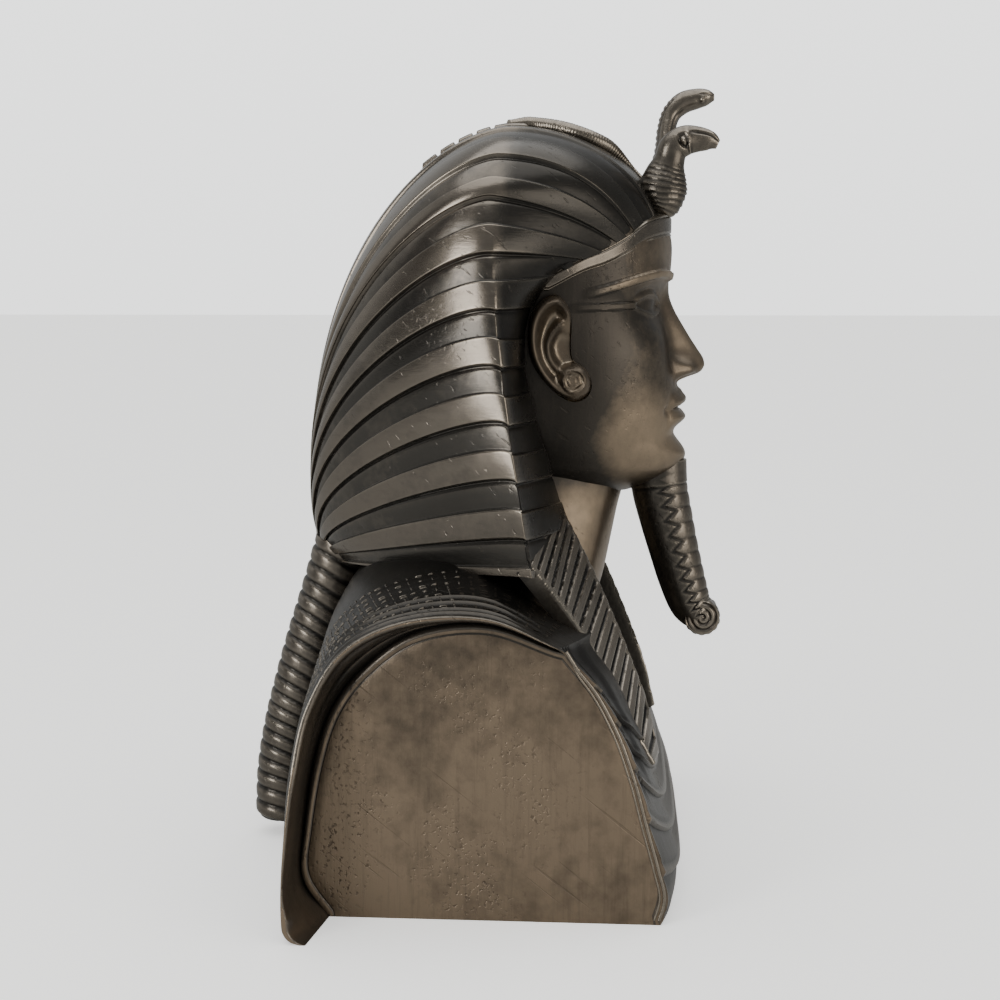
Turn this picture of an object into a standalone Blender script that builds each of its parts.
"""Pharaoh bust cast in one piece: striped headcloth, beard, collar, tied queue, cobra and vulture."""
import math
import bpy
import bmesh
import numpy as np

# Driving sizes, metres
totalHeight = 0.250
unit = totalHeight / 250.0

# Sizes of the body, in units of a 250th of the height
panelHalf = 77.0
panelProud = 1.3
rimLip = 1.8
middleShift = 0.44
collarPitch = 8.3
collarStep = 1.3
# Headcloth: bands are counted from the middle of the crown to the bottom of the lobe
crownBands = 5
bandCount = 18.3
bandStep = 0.9
bandEdge = 0.07
# Head and neck
headHalf = 36.5
headMiddle = -8.0
eyeLevel = 180.0
browLevel = 188.5
mouthLevel = 147.3
browBandProud = 2.0
# Hanging pieces
lappetBars = 14
queueRibs = 20
queueDeep = 10.0
queueWide = 9.2
queueRibDepth = 0.9
beardSides = 12


def smoothAt(knots, values, x):
    """Cubic curve through the values at the knots, held at its ends."""
    knots = np.asarray(knots, float)
    values = np.asarray(values, float)
    x = min(max(float(x), knots[0]), knots[-1])
    k = min(int(np.searchsorted(knots, x, side="right")) - 1, len(knots) - 2)
    slopes = np.gradient(values, knots, axis=0)
    span = knots[k + 1] - knots[k]
    t = (x - knots[k]) / span
    t2, t3 = t * t, t * t * t
    return ((2 * t3 - 3 * t2 + 1) * values[k] + (t3 - 2 * t2 + t) * span * slopes[k]
            + (3 * t2 - 2 * t3) * values[k + 1] + (t3 - t2) * span * slopes[k + 1])


def evenAt(values, t):
    """Cubic curve through evenly spread values, t from 0 to 1."""
    return smoothAt(np.linspace(0, 1, len(values)), values, t)


def ramp(a, b, x):
    t = min(max((x - a) / (b - a), 0.0), 1.0)
    return t * t * (3 - 2 * t)


def bump(x, width):
    return math.exp(-(x / width) ** 2)


def meshFrom(name, points, faces):
    """Closed mesh object from points in units; doubled points are merged."""
    mesh = bpy.data.meshes.new(name)
    placed = [(float(p[0]) * unit, (float(p[1]) - middleShift) * unit, float(p[2]) * unit) for p in points]
    mesh.from_pydata(placed, [], faces)
    bm = bmesh.new()
    bm.from_mesh(mesh)
    bmesh.ops.remove_doubles(bm, verts=bm.verts, dist=0.00002)
    bmesh.ops.recalc_face_normals(bm, faces=bm.faces)
    bm.to_mesh(mesh)
    bm.free()
    obj = bpy.data.objects.new(name, mesh)
    bpy.context.scene.collection.objects.link(obj)
    return obj


def ringLoft(name, rings, closeEnds=True):
    """Skin closed rings of equal length one after another and cap both ends."""
    n = len(rings[0])
    points = [p for ring in rings for p in ring]
    faces = []
    for r in range(len(rings) - 1):
        for k in range(n):
            a, b = r * n + k, r * n + (k + 1) % n
            faces.append((a, b, b + n, a + n))
    if closeEnds:
        for ring, start in ((rings[0], 0), (rings[-1], (len(rings) - 1) * n)):
            points.append(np.mean(np.array(ring, float), axis=0))
            mid = len(points) - 1
            faces += [(start + k, start + (k + 1) % n, mid) for k in range(n)]
    return meshFrom(name, points, faces)


# Body: front of the chest, shoulders and back, between the two flat sides
chestLevels = [0, 8, 16, 28, 43, 58, 70, 80, 92, 104]
chestMiddle = [-62.5, -64.0, -62.8, -59.0, -53.8, -48.6, -44.4, -40.6, -35.5, -30.0]
chestSide = [-57.6, -59.6, -57.9, -54.6, -50.6, -45.2, -38.6, -30.4, -22.0, -16.0]
# Edge of the shoulders from the back foot over the top to the front: depth, level and half width
archOuter = [(50.2, 0, 99.5), (50.6, 13, 99.2), (49.9, 28, 98), (48.0, 48, 95.5), (44.0, 67, 90.4),
             (34.0, 82.8, 85.6), (16.0, 91.0, 82.4), (-7.0, 91.4, 80.3), (-27.3, 82.5, 77.6)]
archInner = [(40.5, 0), (48.2, 12), (47.3, 26), (43.8, 46), (38.4, 62.2), (29.0, 74.6), (14.0, 85.1),
             (-6.5, 87.9), (-26.7, 81.3)]
backMiddle = [(61.5, 0), (61.2, 12), (59.4, 26), (56.0, 46), (51.0, 65), (44.5, 84), (30, 99), (0, 106),
              (-41, 80)]
# Levels of the collar's rows at the flat sides, where they climb to the shoulders
rowSides = [0, 15, 31, 47, 61, 71.5, 79.3]


def chestAt(x, z):
    side = min(abs(x) / panelHalf, 1.0)
    blend = side ** (4.0 - 2.0 * ramp(0, 75, z))
    return (1 - blend) * smoothAt(chestLevels, chestMiddle, z) + blend * smoothAt(chestLevels, chestSide, z)


def collarLevel(row, side):
    middle = row * collarPitch
    return middle + (rowSides[row] - middle) * side ** 3.2


def bodyRing(s, backCount):
    """One ring of the body at the share s of its half width."""
    side = abs(s)
    x = s * panelHalf
    ring = []
    for row in range(len(rowSides)):
        low = collarLevel(row, side)
        proud = collarStep * (row < len(rowSides) - 1) * (0.4 + 0.6 * (row > 0))
        if row:
            ring.append((x, chestAt(x, low - 0.25), low - 0.25))
        ring.append((x, chestAt(x, low) - proud, low))
    back = []
    for i in range(backCount, -1, -1):
        w = i / backCount
        y, z, half = evenAt(archOuter, w)
        middle = evenAt(backMiddle, w)
        blend = side ** (1.6 + 0.6 * ramp(0.15, 0.5, w))
        depth = blend * y + (1 - blend) * middle[0]
        level = blend * z + (1 - blend) * middle[1]
        back.append((s * half, depth, max(level, 0)))
    for t in (0.3, 0.6, 0.85):
        z = (1 - t) * low + t * back[0][2]
        ring.append((x, (1 - t ** 3) * chestAt(x, z) + t ** 3 * back[0][1], z))
    ring += back
    ring.append((x, blend * archInner[0][0] + (1 - blend) * (backMiddle[0][0] - 12), 0.0))
    return ring


def bodyShell(stations, backCount):
    rings = [bodyRing(s, backCount) for s in stations]
    frontCount = len(rings[0]) - backCount - 2

    def sideRings(sign):
        lip, ledge, panel = [], [], []
        for k, p in enumerate(rings[-1]):
            if k < frontCount or k == len(rings[-1]) - 1:
                flat = (sign * panelHalf, p[1], p[2])
                if 0 < k < frontCount:
                    level = min(p[2], 79) + 0.5 * max(p[2] - 79, 0)
                    flat = (sign * panelHalf, chestAt(panelHalf, level) + 0.7, level)
                lip.append(flat)
                ledge.append(flat)
                panel.append(flat)
                continue
            w = (backCount - (k - frontCount)) / backCount
            outer = np.array([p[1], p[2]])
            inner = evenAt(archInner, w)
            width = np.linalg.norm(inner - outer)
            inward = (inner - outer) / width
            edge = outer + inward * min(rimLip, 0.35 * width)
            foot = ramp(0, 0.1, w)
            step = inner - inward * min(1.4, 0.3 * width) * foot
            lip.append((sign * (abs(p[0]) - 0.4), edge[0], max(edge[1], 0.0)))
            ledge.append((sign * (panelHalf - panelProud * foot), step[0], max(step[1], 0.0)))
            panel.append((sign * panelHalf, inner[0], max(inner[1], 0.0)))
        return lip, ledge, panel

    leftLip, leftLedge, leftPanel = sideRings(-1)
    rightLip, rightLedge, rightPanel = sideRings(1)
    sides = [leftPanel, leftLedge, leftLip] + rings + [rightLip, rightLedge, rightPanel]
    return ringLoft("body", sides)


# Headcloth: one line per band edge, from the queue's root over the back to the ridge, then to the face
frontKnots = [0, 1, 2, 3, 4, 5, 6, 7, 8, 9, 10, 12, 14, 16, 18.3]
frontPoints = [(0, -58.0, 208.0), (15, -55.5, 207.0), (20.5, -51.8, 205.5), (24.2, -48.5, 203.5),
               (26.5, -46.2, 201.5), (28.6, -43.2, 199.6), (31.2, -38.8, 196.8), (34.0, -32.8, 194.2),
               (36.6, -24.5, 189.5), (37.6, -18.0, 180.0), (37.8, -15.5, 170.5), (36.8, -17.0, 154.0),
               (33.0, -21.5, 136.5), (29.0, -26.5, 119.0), (27.0, -33.0, 99.5)]
frontBulge = [(0, -1.2, 10.4), (6, -3.0, 8.0), (3, -2.0, 2.4), (0.5, -2.0, 0.0), (0, -2.0, 0), (0, -0.5, 0)]
frontBulgeFar = [(0, -10.3, 12.2), (7, -5.0, 9.0), (2.2, -2.0, 3.0), (0.5, -2.0, 0), (0, -2.0, 0),
                 (0, 0.5, 0)]
bulgeKnots = [0, 2.5, 5, 7.5, 12, 18.3]


def ridgeAt(band):
    if band <= crownBands:
        turn = band / crownBands * math.pi / 2
        return np.array([50 * math.sin(turn), -8 + 2.4 * band / crownBands,
                         213.1 + 24.3 * max(math.cos(turn), 0.0) ** 1.21])
    share = (band - crownBands) / (18.0 - crownBands)
    return np.array([50 + 16.5 * math.sin(min(share, 1.0) ** 0.8 * math.pi / 2),
                     -5.6 - 13 * share ** 1.4, 213.1 - 109.6 * share])


def rootAt(band):
    share = band / 18.0
    return np.array([0.0, 57 - 6 * share ** 2, 104 - 8.5 * share])


def backLine(band, t):
    """Point of a band edge on the side and back, t from 0 at the ridge to 1 at the root."""
    share = band / 18.0
    start, end = ridgeAt(band), rootAt(band)
    reach = 30.7 - 29.96 * share + 1.26 * share ** 2
    slope = -0.114 - 0.744 * share + 3.0 * share ** 2
    reachEnd = max(87.6 - 55.4 * share - 34.2 * share ** 2, 0.5)
    slopeEnd = 1.485 + 0.083 * share - 0.91 * share ** 2
    first = start[1:] + reach * np.array([math.cos(slope), math.sin(slope)])
    second = end[1:] + reachEnd * np.array([math.cos(slopeEnd), math.sin(slopeEnd)])
    yz = ((1 - t) ** 3 * start[1:] + 3 * (1 - t) ** 2 * t * first
          + 3 * (1 - t) * t * t * second + t ** 3 * end[1:])
    x = start[0] * max(math.cos(t * math.pi / 2), 0.0) ** 1.3
    return np.array([x, yz[0], yz[1]])


def frontLine(band, t):
    """Point of a band edge on the front of the cloth, t from 0 at the ridge to 1 at the face."""
    start, end = ridgeAt(band), smoothAt(frontKnots, frontPoints, band)
    near = start * 2 / 3 + end / 3 + smoothAt(bulgeKnots, frontBulge, band)
    far = start / 3 + end * 2 / 3 + smoothAt(bulgeKnots, frontBulgeFar, band)
    if band == 0:
        near[0] = far[0] = end[0] = 0.0
    return (1 - t) ** 3 * start + 3 * (1 - t) ** 2 * t * near + 3 * (1 - t) * t * t * far + t ** 3 * end


def clothRows(edgeShare):
    """Pairs of band number and height: each edge between bands is a step."""
    rows = [(0.0, 1.0)]
    for k in range(1, 19):
        before, after = (1.0, 0.0) if k % 2 else (0.0, 1.0)
        rows += [(k - edgeShare, before), (k + edgeShare, after)]
    return rows + [(bandCount, 1.0)]


def clothShell(backCount, frontCount):
    grid = []
    for band, high in clothRows(bandEdge):
        row = [backLine(band, 1 - i / backCount) for i in range(backCount)]
        row += [frontLine(band, i / frontCount) for i in range(frontCount + 1)]
        row.append(np.array([0.0, 10.0, min(row[-1][2], 200.0)]))
        grid.append(row)
    grid = np.array(grid)
    rows, columns = grid.shape[:2]
    lifted = grid.copy()
    middle = np.array([0.0, 10.0, 150.0])
    for r, (band, high) in enumerate(clothRows(bandEdge)):
        for c in range(1, columns - 1):
            across = grid[min(r + 1, rows - 1), c] - grid[max(r - 1, 0), c]
            along = grid[r, min(c + 1, columns - 2)] - grid[r, c - 1]
            normal = np.cross(across, along)
            size = np.linalg.norm(normal)
            if size < 1e-6:
                continue
            normal = normal / size
            if normal @ (grid[r, c] - middle) < 0:
                normal = -normal
            if r == 0:
                normal[0] = 0.0
            fade = ramp(0, 0.12, c / backCount) * (1 - 0.55 * ramp(0, 1, (c - backCount) / frontCount))
            lifted[r, c] = grid[r, c] + normal * bandStep * (high - 1.0) * fade
    points, faces = [], []
    for sign in (1, -1):
        base = len(points)
        points += [(sign * p[0], p[1], p[2]) for row in lifted for p in row]
        for r in range(rows - 1):
            for c in range(columns - 1):
                a = base + r * columns + c
                faces.append((a, a + 1, a + columns + 1, a + columns))
        last = base + (rows - 1) * columns
        points.append((0.0, 12.0, 99.0))
        faces += [(last + c, last + c + 1, len(points) - 1) for c in range(columns - 1)]
    return meshFrom("cloth", points, faces)


# Head with a plain face in the usual proportions: features are bumps on an oval
headLevels = [120, 123, 127, 131, 137, 144, 152, 162, 172, 182, 192, 203, 208, 214]
headWidths = [14, 19.5, 23.5, 26.0, 29.3, 31.8, 33.6, 35.2, 36.0, 36.3, 36.6, 36.6, 35.6, 30.0]
headFronts = [-48, -56.5, -62.6, -64.6, -63.6, -63.4, -63.6, -61.6, -59.6, -58.4, -60.0, -59.6, -57.6, -50.0]
noseLevels = [153.5, 155.6, 156.8, 158.2, 160.2, 162.8, 166, 170, 175, 180, 184, 188]
noseHeights = [0.0, 0.9, 3.6, 7.6, 9.9, 10.3, 9.0, 7.2, 5.1, 3.2, 1.8, 0.8]
noseWidths = [3.0, 4.0, 5.4, 6.0, 5.4, 4.8, 4.2, 3.9, 3.7, 3.7, 4.6, 6.0]


def featureAt(x, z):
    """Height of the features over the oval of the face."""
    side = abs(x)
    bridge = smoothAt(noseLevels, noseWidths, z)
    total = smoothAt(noseLevels, noseHeights, z) * math.exp(-(side / bridge) ** 2.4)
    total += 3.2 * bump(side - 6.0, 2.4) * bump(z - 160.2, 2.9)
    across = side / 11.8
    if across < 1:
        curve = mouthLevel - 0.6 * across ** 2
        arch = math.sqrt(1 - across ** 2)
        total += 2.8 * arch * bump(z - (curve + 3.0 - 0.9 * across), 2.5)
        total += 2.9 * arch * bump(z - (curve - 3.3), 2.6)
        total -= 1.3 * arch * bump(z - curve, 0.9)
    total += 1.6 * bump(side, 9.0) * bump(z - 131.5, 4.6)
    total -= 1.3 * bump(side, 11.0) * bump(z - 139.0, 2.6)
    total += 1.8 * bump(side - 20.0, 9.5) * bump(z - 166.5, 9.0)
    total -= 3.8 * bump(side - 14.0, 8.2) * bump(z - eyeLevel, 5.6)
    total += 2.9 * bump(side - 14.4, 5.8) * bump(z - eyeLevel + 0.2, 3.5)
    brow = browLevel + 1.2 - 0.020 * (side - 14.0) ** 2
    total += 1.7 * ramp(3.5, 6.5, side) * (1 - ramp(25, 30, side)) * bump(z - brow, 1.7)
    return total


def headPoint(turn, z):
    """Point of the head at an angle from the front."""
    half = smoothAt(headLevels, headWidths, z)
    front = headMiddle - smoothAt(headLevels, headFronts, z)
    c, s = math.cos(turn), math.sin(turn)
    power = 2 / 2.15
    x = half * math.copysign(abs(s) ** power, s)
    depth = front if c > 0 else 26.0
    y = headMiddle - depth * math.copysign(abs(c) ** power, c)
    if c > 0:
        y -= featureAt(x, z) * ramp(0.0, 0.45, c)
    return (x, y, z)


def headShell(levels, turns):
    return ringLoft("head", [[headPoint(t, z) for t in turns] for z in levels])


def ellipseRing(centre, halfX, halfY, z, count, front=0.0):
    ring = []
    for k in range(count):
        a = 2 * math.pi * k / count
        ring.append((halfX * math.sin(a), centre - halfY * math.cos(a), z + front * math.cos(a)))
    return ring


def neckShell(count):
    rings = []
    for z, front, half in ((84, -37.0, 31.0), (92, -39.5, 28.6), (104, -42.0, 26.0), (114, -44.0, 24.4),
                           (122, -46.0, 23.6), (134, -48.5, 23.0)):
        rings.append(ellipseRing((front + 22) / 2, half, (22 - front) / 2, z, count))
    return ringLoft("neck", rings)


# Brow band
bandAngles = [0, 20, 33, 44, 53, 61, 74]
bandTops = [209.5, 208.7, 206.2, 201.5, 197.9, 195.4, 189.6]
bandDrops = (7.4, 4.6)


def browShell(count):
    rings = []
    for i in range(2 * count + 1):
        angle = 76.0 * (i - count) / count
        turn = math.radians(angle)
        top = smoothAt(bandAngles, bandTops, abs(angle))
        low = top - bandDrops[0] - (bandDrops[1] - bandDrops[0]) * ramp(15, 70, abs(angle))
        ring = []
        for grow, z in ((browBandProud, low), (browBandProud, top), (-1.0, top + 0.4), (-1.0, low - 0.4)):
            half, depth = headHalf + grow, 50.8 + grow
            ring.append((half * math.sin(turn), headMiddle - depth * math.cos(turn), z))
        rings.append(ring)
    return ringLoft("browBand", rings)


# Ears: a leaning dish with a rolled rim and a round stud on the lobe
earRim = [(-29.5, 177.0), (-27.0, 181.2), (-23.4, 182.0), (-20.3, 178.6), (-18.8, 172.4), (-19.0, 166.0),
          (-21.2, 160.2), (-25.2, 155.6), (-30.0, 153.4), (-33.6, 155.6)]


def earOut(y):
    return 40.0 + 0.11 * (y + 27)


def earDish(sign, spokes):
    """Plate of the ear on an axis that leans back."""
    middle = np.array([-26.4, 167.4])
    lean = math.radians(17)
    rings = []
    for share, out in ((0.2, -2.2), (0.6, -1.6), (0.9, 0.0), (1.0, -1.0), (0.95, -8.0)):
        ring = []
        for k in range(spokes):
            a = 2 * math.pi * k / spokes
            up, back = 15.6 * math.cos(a) * share, (8.2 if math.cos(a) > 0 else 7.0) * math.sin(a) * share
            y = middle[0] + math.sin(lean) * up + math.cos(lean) * back
            z = middle[1] + math.cos(lean) * up - math.sin(lean) * back
            ring.append((sign * (earOut(y) + out), y, z))
        rings.append(ring)
    return ringLoft("earDish", rings)


def earRoll(sign, count, sides):
    path = []
    for i in range(count):
        y, z = evenAt(earRim, i / (count - 1))
        size = 1.5 + 0.8 * math.sin(math.pi * min(i / (count - 1) * 1.15, 1.0))
        path.append((sign * (earOut(y) + 1.2), y, z, size, size))
    return tubeShell("earRoll", path, sides)


def discShell(name, middle, radius, inner, outer, count, axis=0):
    """Round stud across the bust with a bevelled edge."""
    rings = []
    for x, r in ((inner, radius), (outer - math.copysign(0.7, outer - inner), radius), (outer, radius - 0.8)):
        turns = [2 * math.pi * k / count for k in range(count)]
        rings.append([(x, middle[0] + r * math.cos(a), middle[1] + r * math.sin(a)) for a in turns])
    return ringLoft(name, rings)


# Lappets: two hanging strips with bars
lappetInner = [(28.5, -24.4, 122.5), (28.5, -31.4, 109), (29.5, -38.2, 95.3), (30, -43.6, 83.2),
               (30, -49.2, 69.5), (30, -54.4, 55.0), (30, -58.2, 38.9)]
lappetOuter = [(64.4, -18.9, 104.5), (61.5, -24.6, 96.8), (56.5, -30.2, 88.2), (50.5, -36.4, 77.4),
               (46.4, -43.0, 64.4), (45.2, -50.2, 50.4), (45, -56.6, 39.4)]
lappetSlant = 0.08


def lappetShell(sign, barCount):
    rings = []
    for bar in range(barCount):
        for share, high in ((0.0, 1.0), (0.58, 1.0), (0.64, 0.0), (0.94, 0.0)):
            t = (bar + share / 0.58 * (1 if bar == barCount - 1 else 0.58)) / barCount
            if bar == barCount - 1 and share > 0.6:
                continue
            slant = lappetSlant * ramp(0, 0.25, t) * (1 - ramp(0.85, 1, t))
            near, far = evenAt(lappetInner, t - slant), evenAt(lappetOuter, t)
            top = np.array([0, 0.8, -0.45]) * (1.0 - high)
            deep = np.array([0, 4.6, -2.4])
            rings.append([p * (sign, 1, 1) for p in (near + top, far + top, far + deep, near + deep)])
    return ringLoft("lappet", rings)


def tubeShell(name, path, count, squash=1.0, offset=0.0):
    """Tube along a path of (x, y, z, radius, sideways radius)."""
    path = np.array(path, float)
    rings = []
    for i, p in enumerate(path):
        ahead = path[min(i + 1, len(path) - 1), :3] - path[max(i - 1, 0), :3]
        ahead = ahead / np.linalg.norm(ahead)
        sideways = np.array([1.0, 0.0, 0.0]) - ahead * ahead[0]
        sideways = sideways / np.linalg.norm(sideways)
        outward = np.cross(ahead, sideways)
        ring = []
        for k in range(count):
            a = 2 * math.pi * (k + offset) / count
            ring.append(p[:3] + sideways * p[4] * math.sin(a) + outward * p[3] * math.cos(a) * squash)
        rings.append(ring)
    return ringLoft(name, rings)


def sampled(path, count):
    return [evenAt(path, i / (count - 1)) for i in range(count)]


beardPath = [(0, -57.4, 129.5, 9.0, 8.0), (0, -57.8, 121.0, 9.1, 8.2), (0, -60.0, 111.0, 8.7, 7.9),
             (0, -62.8, 100.0, 8.1, 7.5), (0, -65.6, 90.0, 7.6, 7.0), (0, -68.4, 82.0, 6.9, 6.5),
             (0, -71.6, 77.6, 5.8, 5.9)]
queueOuter = [(57.0, 104.0), (62.2, 86.6), (67.3, 70.8), (72.0, 54.5), (75.8, 39.5), (78.6, 23.0),
              (79.5, 5.0)]
vulturePath = [(-6, -56.0, 209.0, 3.5, 3.5), (-6, -57.2, 212.3, 6.4, 5.6), (-6, -57.7, 217.3, 7.8, 6.2),
               (-6, -58.6, 222.2, 6.5, 5.2), (-6, -59.7, 226.2, 4.9, 4.2), (-6, -60.9, 229.9, 4.8, 4.1),
               (-6, -64.2, 232.2, 4.8, 4.0), (-6, -68.4, 232.7, 4.1, 3.0), (-6, -72.4, 232.2, 3.1, 2.2),
               (-6, -75.0, 231.0, 1.5, 1.2)]
cobraPath = [(4.5, -53.5, 206, 4.5, 5.0), (5, -56.0, 214, 4.6, 6.6), (5.5, -57.4, 222, 4.2, 8.0),
             (5.5, -58.4, 230, 3.4, 7.6), (5.5, -58.8, 236.5, 3.1, 5.6), (5.5, -60.4, 241.8, 3.2, 4.0),
             (5.5, -64.0, 245.4, 3.5, 3.7), (5.5, -68.2, 246.8, 3.3, 3.5), (5.5, -71.8, 247.3, 2.6, 2.9),
             (5.5, -74.2, 247.3, 1.1, 1.3)]
coilRadius = 2.5
coilSide = -1.8
coilSwing = 2.6
coilWaves = 1.5
coilStart = 0.82


def coilPath(count):
    """The snake's body winds over the crown from the brow to behind the middle."""
    path = []
    for i in range(count):
        t = i / (count - 1)
        foot = frontLine(0.0, coilStart * (1 - t))
        x = coilSide + coilSwing * math.sin(2 * math.pi * coilWaves * t)
        size = coilRadius * (0.22 + 0.78 * ramp(0.1, 0.36, t)) * (1 - 0.35 * ramp(0.85, 1, t))
        path.append((x, foot[1], foot[2] - 0.011 * x ** 2 + 0.45 * size, size, size))
    return path


curlMiddle = (-72.4, 77.6)
curlRadius = 6.1
curlHalf = 5.8
curlBevel = (1.2, 1.5)


def curlShell(count):
    """Rolled end of the beard: a short drum across."""
    rings = []
    shoulder = curlHalf - curlBevel[0]
    small = curlRadius - curlBevel[1]
    for x, radius in ((-curlHalf, small), (-shoulder, curlRadius), (shoulder, curlRadius), (curlHalf, small)):
        turns = [2 * math.pi * k / count for k in range(count)]
        rings.append([(x, curlMiddle[0] + radius * math.cos(a), curlMiddle[1] + radius * math.sin(a))
                      for a in turns])
    return ringLoft("curl", rings)


def queuePath(perRib):
    path = []
    total = queueRibs * perRib
    for i in range(total + 1):
        t = i / total
        y, z = evenAt(queueOuter, t)
        slopeY, slopeZ = evenAt(queueOuter, min(t + 0.02, 1)) - evenAt(queueOuter, max(t - 0.02, 0))
        size = math.hypot(slopeY, slopeZ)
        wave = abs(math.sin(math.pi * t * queueRibs))
        cut = queueRibDepth * (1 - wave)
        path.append((0, y + queueDeep * slopeZ / size, z - queueDeep * slopeY / size, queueDeep - cut,
                     queueWide - cut))
    return path


def crownStrip():
    """Jointed strip that runs back over the crown."""
    rings = []
    pieces = 5
    for i in range(pieces):
        for share, high in ((0.0, 1.0), (0.82, 1.0), (0.84, 0.15), (0.98, 0.15)):
            t = (i + share) / pieces
            foot = backLine(0.0, 0.30 * t) if t > 0.12 else frontLine(0.0, 0.12 - t)
            half = 4.6 - 1.2 * t
            ring = []
            for x, lift in ((-half, -3.0), (half, -3.0), (half, 1.5 * high), (-half, 1.5 * high)):
                ring.append((x, foot[1] + 0.35 * lift * t, foot[2] + lift - 0.1 * abs(x) * (lift > 0)))
            rings.append(ring)
    return ringLoft("crownStrip", rings)


def joined(objects):
    """One closed body from overlapping shells; the exact solver leaves open edges between these reliefs."""
    base = objects[0]
    for other in objects[1:]:
        cut = base.modifiers.new("join", "BOOLEAN")
        cut.operation = "UNION"
        cut.solver = "MANIFOLD"
        cut.object = other
        evaluated = base.evaluated_get(bpy.context.evaluated_depsgraph_get())
        mesh = bpy.data.meshes.new_from_object(evaluated)
        base.modifiers.clear()
        base.data = mesh
        bpy.data.objects.remove(other)
    return base


def fillPockets(obj):
    """Keep the outer skin only, so that pockets shut in between the shells are filled."""
    bm = bmesh.new()
    bm.from_mesh(obj.data)
    pending = set(bm.verts)
    parts = []
    while pending:
        stack = [pending.pop()]
        part = list(stack)
        while stack:
            for edge in stack.pop().link_edges:
                for vert in edge.verts:
                    if vert in pending:
                        pending.discard(vert)
                        stack.append(vert)
                        part.append(vert)
        parts.append(part)
    parts.sort(key=len)
    bmesh.ops.delete(bm, geom=[v for part in parts[:-1] for v in part], context="VERTS")
    bm.to_mesh(obj.data)
    bm.free()


for old in list(bpy.data.objects):
    bpy.data.objects.remove(old)

stations = [-1, -0.92, -0.82, -0.7, -0.55, -0.38, -0.2, 0, 0.2, 0.38, 0.55, 0.7, 0.82, 0.92, 1]
levels = [120, 123, 126, 129, 132, 135.5, 139, 141.8, 144, 147.3, 150.4, 153.2, 156.4, 158.4, 161, 165, 170,
          175, 179, 183, 187.2, 190, 194, 202, 208, 214]
turnSteps = [0, 3.5, 7, 11.5, 17, 24, 32, 42, 56, 74, 100, 140]
turns = [math.radians(a) for a in turnSteps] + [math.pi] + [-math.radians(a) for a in turnSteps[:0:-1]]

shells = [bodyShell(stations, 14), neckShell(16), headShell(levels, turns), clothShell(10, 3)]
shells += [browShell(9), lappetShell(1, lappetBars), lappetShell(-1, lappetBars)]
for sign in (1, -1):
    shells += [earDish(sign, 14), earRoll(sign, 14, 6)]
    shells.append(discShell("stud", (-31.2, 156.6), 3.9, sign * 36, sign * 41.6, 12))
shells.append(tubeShell("beard", sampled(beardPath, 10), beardSides))
shells.append(curlShell(12))
shells.append(tubeShell("queue", queuePath(2), 8))
shells += [tubeShell("vulture", sampled(vulturePath, 12), 8), tubeShell("cobra", sampled(cobraPath, 12), 8)]
shells.append(tubeShell("coil", coilPath(17), 6))
shells.append(crownStrip())

bust = joined(shells)
fillPockets(bust)
bust.name = "pharaoh_bust"
bust.data.name = "pharaoh_bust"
bust.data.shade_smooth()
bust.data.set_sharp_from_angle(angle=math.radians(32))
bronze = bpy.data.materials.new("bronze")
bronze.use_nodes = True
shader = bronze.node_tree.nodes["Principled BSDF"]
shader.inputs["Base Color"].default_value = (0.16, 0.12, 0.09, 1)
shader.inputs["Metallic"].default_value = 0.8
shader.inputs["Roughness"].default_value = 0.42
bust.data.materials.clear()
bust.data.materials.append(bronze)
for polygon in bust.data.polygons:
    polygon.material_index = 0
